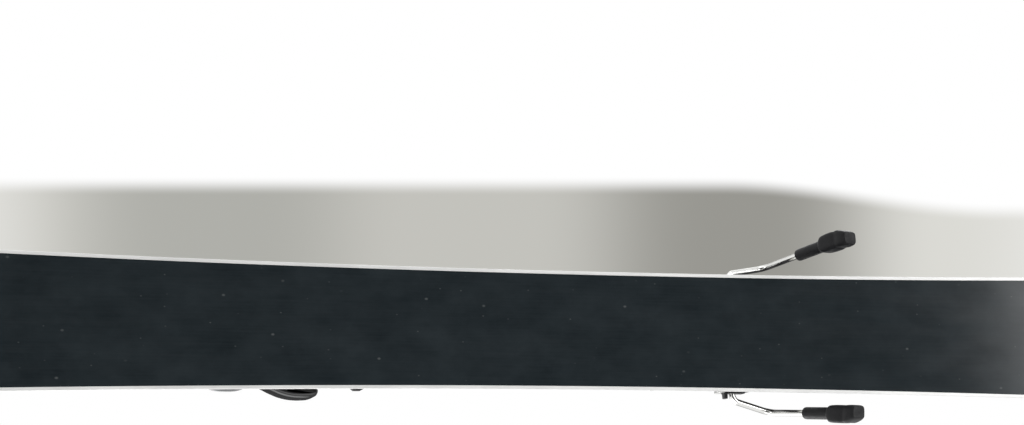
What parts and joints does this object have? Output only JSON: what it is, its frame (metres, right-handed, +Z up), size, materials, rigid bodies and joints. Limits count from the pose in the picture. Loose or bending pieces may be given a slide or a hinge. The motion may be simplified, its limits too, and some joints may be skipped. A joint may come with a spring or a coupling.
{
  "type": "alpine ski",
  "caption": "Carving alpine ski with steel edges, step-in binding with opening toe wings, hinged heel piece with lever, and a sprung ski brake, shown unladen with its brake arms down.",
  "frame": {"origin": "on the running surface, under the middle of the boot sole and midway between the edges", "axes": "+X forward to the ski's tip, +Y to its left side, +Z up out of the topsheet"},
  "size_m": [1.6995, 0.1178, 0.1572],
  "materials": {
    "running_base": "sintered black base, fine lengthwise structure",
    "edge_steel": "ground",
    "sidewall": "smooth white",
    "laminate": "glass fibre in resin",
    "core_wood": "bare",
    "topsheet": "gloss",
    "black_plastic": "moulded",
    "gloss_black": "gloss",
    "grey_plastic": "metallic grey paint",
    "chrome_wire": "polished",
    "plated_steel": "zinc plated",
    "aluminium": "satin",
    "spring_steel": "oiled",
    "glide_plastic": "smooth low friction",
    "rubber": "matt",
    "clear_window": "clear",
    "orange_marker": "bright"
  },
  "bodies": {
    "ski": {"base_sheet": "running_base", "edge_left": "edge_steel", "edge_right": "edge_steel", "tail_protector": "aluminium", "lower_laminate": "laminate", "core": "core_wood", "sidewall_left": "sidewall", "sidewall_right": "sidewall", "tip_spacer": "sidewall", "tail_spacer": "sidewall", "upper_laminate": "laminate", "topsheet": "topsheet", "toe_base_plate": "black_plastic", "toe_screw_rear_left": "plated_steel", "toe_screw_rear_right": "plated_steel", "toe_screw_front_left": "plated_steel", "toe_screw_front_right": "plated_steel", "toe_housing": "grey_plastic", "toe_wing_pin_left": "plated_steel", "toe_wing_pin_right": "plated_steel", "toe_piston": "plated_steel", "toe_spring": "spring_steel", "toe_scale_window": "clear_window", "afd_frame": "black_plastic", "afd_cushion_left": "rubber", "afd_cushion_right": "rubber", "heel_track": "aluminium", "heel_screw_rear_left": "plated_steel", "heel_screw_rear_right": "plated_steel", "heel_screw_front_left": "plated_steel", "heel_screw_front_right": "plated_steel"},
    "toe_wing_left": {"toe_wing_left": "gloss_black"},
    "toe_wing_right": {"toe_wing_right": "gloss_black"},
    "toe_screw": {"toe_release_screw": "plated_steel"},
    "toe_nut": {"toe_spring_nut": "orange_marker"},
    "afd_slider": {"afd_slider": "glide_plastic"},
    "heel_base": {"heel_base": "black_plastic", "length_block": "plated_steel", "forward_pressure_spring": "spring_steel", "brake_bracket": "plated_steel", "brake_block_left": "black_plastic", "brake_block_right": "black_plastic", "brake_pedal_pin": "plated_steel", "brake_spring": "spring_steel"},
    "length_screw": {"length_screw": "plated_steel"},
    "heel_carriage": {"heel_carriage": "black_plastic", "heel_axle": "plated_steel"},
    "heel_jaw": {"heel_jaw": "gloss_black", "heel_lever_pin": "plated_steel", "heel_scale_window": "clear_window", "heel_cam_piston": "plated_steel", "heel_spring": "spring_steel"},
    "heel_lever": {"heel_lever": "black_plastic"},
    "heel_screw": {"heel_release_screw": "plated_steel"},
    "heel_nut": {"heel_spring_nut": "orange_marker"},
    "brake_arm_left": {"brake_arm_left": "chrome_wire", "brake_foot_left": "black_plastic"},
    "brake_arm_right": {"brake_arm_right": "chrome_wire", "brake_foot_right": "black_plastic"},
    "brake_pedal": {"brake_pedal": "black_plastic"}
  },
  "joints": [
    {"name": "toe_wing_left_hinge", "type": "hinge", "parent": "ski", "child": "toe_wing_left", "pos_m": [0.164, 0.0245, 0.0246], "axis": [0, 0, -1], "range_deg": [0, 24], "stiffness_Nm_per_rad": 1.5, "springref_deg": -28.65},
    {"name": "toe_wing_right_hinge", "type": "hinge", "parent": "ski", "child": "toe_wing_right", "pos_m": [0.164, -0.0245, 0.0246], "axis": [0, 0, 1], "range_deg": [0, 24], "stiffness_Nm_per_rad": 1.5, "springref_deg": -28.65},
    {"name": "toe_screw_turn", "type": "hinge", "parent": "ski", "child": "toe_screw", "pos_m": [0.1973, 0, 0.038], "axis": [1, 0, 0], "range_deg": [-541, 541]},
    {"name": "toe_nut_slide", "type": "slide", "parent": "ski", "child": "toe_nut", "axis": [1, 0, 0], "range_m": [-0.00225, 0.00225], "deforming": ["toe_spring"]},
    {"name": "afd_slide", "type": "slide", "parent": "ski", "child": "afd_slider", "axis": [0, 1, 0], "range_m": [-0.008, 0.008], "stiffness_N_per_m": 150, "deforming": ["afd_cushion_left", "afd_cushion_right"]},
    {"name": "length_slide", "type": "slide", "parent": "ski", "child": "heel_base", "axis": [1, 0, 0], "range_m": [-0.015, 0.015]},
    {"name": "length_screw_turn", "type": "hinge", "parent": "heel_base", "child": "length_screw", "pos_m": [-0.216, 0, 0.0231], "axis": [1, 0, 0], "range_deg": [-1081, 1081]},
    {"name": "forward_pressure_slide", "type": "slide", "parent": "heel_base", "child": "heel_carriage", "axis": [-1, 0, 0], "range_m": [0, 0.007], "stiffness_N_per_m": 8000, "springref_m": -0.005, "deforming": ["forward_pressure_spring"]},
    {"name": "heel_jaw_hinge", "type": "hinge", "parent": "heel_carriage", "child": "heel_jaw", "pos_m": [-0.196, 0, 0.048], "axis": [0, -1, 0], "range_deg": [0, 50]},
    {"name": "heel_lever_hinge", "type": "hinge", "parent": "heel_jaw", "child": "heel_lever", "pos_m": [-0.216, 0, 0.0844], "axis": [0, -1, 0], "range_deg": [0, 12.5]},
    {"name": "heel_screw_turn", "type": "hinge", "parent": "heel_jaw", "child": "heel_screw", "pos_m": [-0.226, 0, 0.068], "axis": [1, 0, 0], "range_deg": [-721, 721]},
    {"name": "heel_nut_slide", "type": "slide", "parent": "heel_jaw", "child": "heel_nut", "axis": [1, 0, 0], "range_m": [-0.003, 0.003], "deforming": ["heel_spring"]},
    {"name": "brake_arm_left_hinge", "type": "hinge", "parent": "heel_base", "child": "brake_arm_left", "pos_m": [-0.1392, 0.0363, 0.021], "axis": [-0.1009, 0.9936, 0.0504], "range_deg": [0, 56], "stiffness_Nm_per_rad": 1.5, "springref_deg": -60.16},
    {"name": "brake_arm_right_hinge", "type": "hinge", "parent": "heel_base", "child": "brake_arm_right", "pos_m": [-0.1392, -0.0363, 0.021], "axis": [0.1009, 0.9936, -0.0504], "range_deg": [0, 56], "stiffness_Nm_per_rad": 1.5, "springref_deg": -60.16},
    {"name": "brake_pedal_hinge", "type": "hinge", "parent": "heel_base", "child": "brake_pedal", "pos_m": [-0.088, 0, 0.0263], "axis": [0, -1, 0], "range_deg": [0, 18.6]}
  ],
  "couplings": [
    {"joint": "toe_screw_turn", "follows": "toe_nut_slide", "rad_per_m": 4188.8},
    {"joint": "length_screw_turn", "follows": "length_slide", "rad_per_m": 1256.6},
    {"joint": "heel_lever_hinge", "follows": "heel_jaw_hinge", "ratio": 0.24},
    {"joint": "heel_screw_turn", "follows": "heel_nut_slide", "rad_per_m": 4188.8},
    {"joint": "brake_arm_right_hinge", "follows": "brake_arm_left_hinge", "ratio": 1},
    {"joint": "brake_pedal_hinge", "follows": "brake_arm_left_hinge", "ratio": 0.33036}
  ]
}
